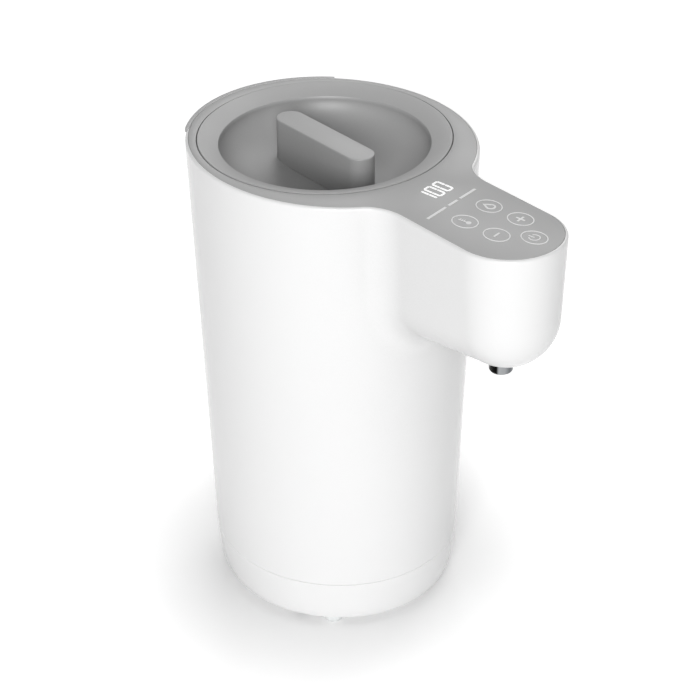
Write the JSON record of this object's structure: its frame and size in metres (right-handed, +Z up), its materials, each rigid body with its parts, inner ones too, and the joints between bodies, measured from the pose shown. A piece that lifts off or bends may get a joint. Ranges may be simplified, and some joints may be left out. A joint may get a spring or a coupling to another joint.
{
  "type": "baby formula maker",
  "caption": "Countertop formula water dispenser: oval white body, grey touch panel, lift-off tank lid with a grip bar, and an arm that holds the nozzle over the bottle.",
  "frame": {"origin": "on the floor, under the centre of the bounding box", "axes": "+Z up, -Y towards the nozzle at the front, +X to the right of someone who looks at the nozzle from the front"},
  "size_m": [0.13, 0.2156, 0.2377],
  "materials": {
    "white_shell": "satin gloss",
    "grey_panel": "fine matte",
    "white_print": "printed",
    "feet_rubber": "translucent white",
    "seal_rubber": "soft silicone",
    "screw_steel": "zinc plated",
    "tank_steel": "drawn stainless sheet",
    "heater_aluminium": "bare",
    "element_steel": "dull",
    "inner_plastic": "moulded",
    "dark_plastic": "moulded",
    "rotor_plastic": "moulded",
    "circuit_board": "solder mask",
    "nozzle_chrome": "polished",
    "brass_pins": "bare",
    "cable_plastic": "insulation"
  },
  "bodies": {
    "housing": {"outer_shell": "white_shell", "base_cover": "white_shell", "rubber_feet": "feet_rubber", "base_screws": "screw_steel", "deck_panel": "grey_panel", "rear_lip": "grey_panel", "display_digits": "white_print", "key_marks": "white_print", "status_bars": "white_print", "top_collar": "inner_plastic", "collar_screws": "screw_steel", "tank_gasket": "seal_rubber", "tank": "tank_steel", "heater_plate": "heater_aluminium", "heater_element": "element_steel", "heater_clamp": "heater_aluminium", "temp_sensor": "brass_pins", "thermal_cutout": "dark_plastic", "suction_hose": "seal_rubber", "pump_volute": "dark_plastic", "pump_cap": "dark_plastic", "pump_motor": "element_steel", "pump_bracket": "inner_plastic", "pump_screws": "screw_steel", "riser_hose": "seal_rubber", "hose_clips": "screw_steel", "nozzle_elbow": "inner_plastic", "nozzle_holder": "dark_plastic", "nozzle_tip": "nozzle_chrome", "control_board": "circuit_board", "display_module": "dark_plastic", "touch_springs": "screw_steel", "board_screws": "screw_steel", "panel_cable": "cable_plastic", "power_board": "circuit_board", "power_screws": "screw_steel", "transformer": "cable_plastic", "relay": "rotor_plastic", "capacitor": "dark_plastic", "fuse": "cable_plastic", "mains_inlet": "dark_plastic", "inlet_pins": "brass_pins"},
    "lid": {"lid_bowl": "grey_panel", "lid_grip": "grey_panel", "lid_seal": "seal_rubber", "lid_inner_cover": "grey_panel", "lid_screws": "screw_steel"},
    "pump_rotor": {"pump_impeller": "rotor_plastic", "pump_shaft": "screw_steel"}
  },
  "joints": [
    {"name": "lid_lift", "type": "slide", "parent": "housing", "child": "lid", "axis": [0, 0, 1], "range_m": [0, 0.09]},
    {"name": "pump_spin", "type": "hinge", "parent": "housing", "child": "pump_rotor", "pos_m": [0, -0.0006, 0.035], "axis": [0, 0, 1], "continuous": true}
  ]
}
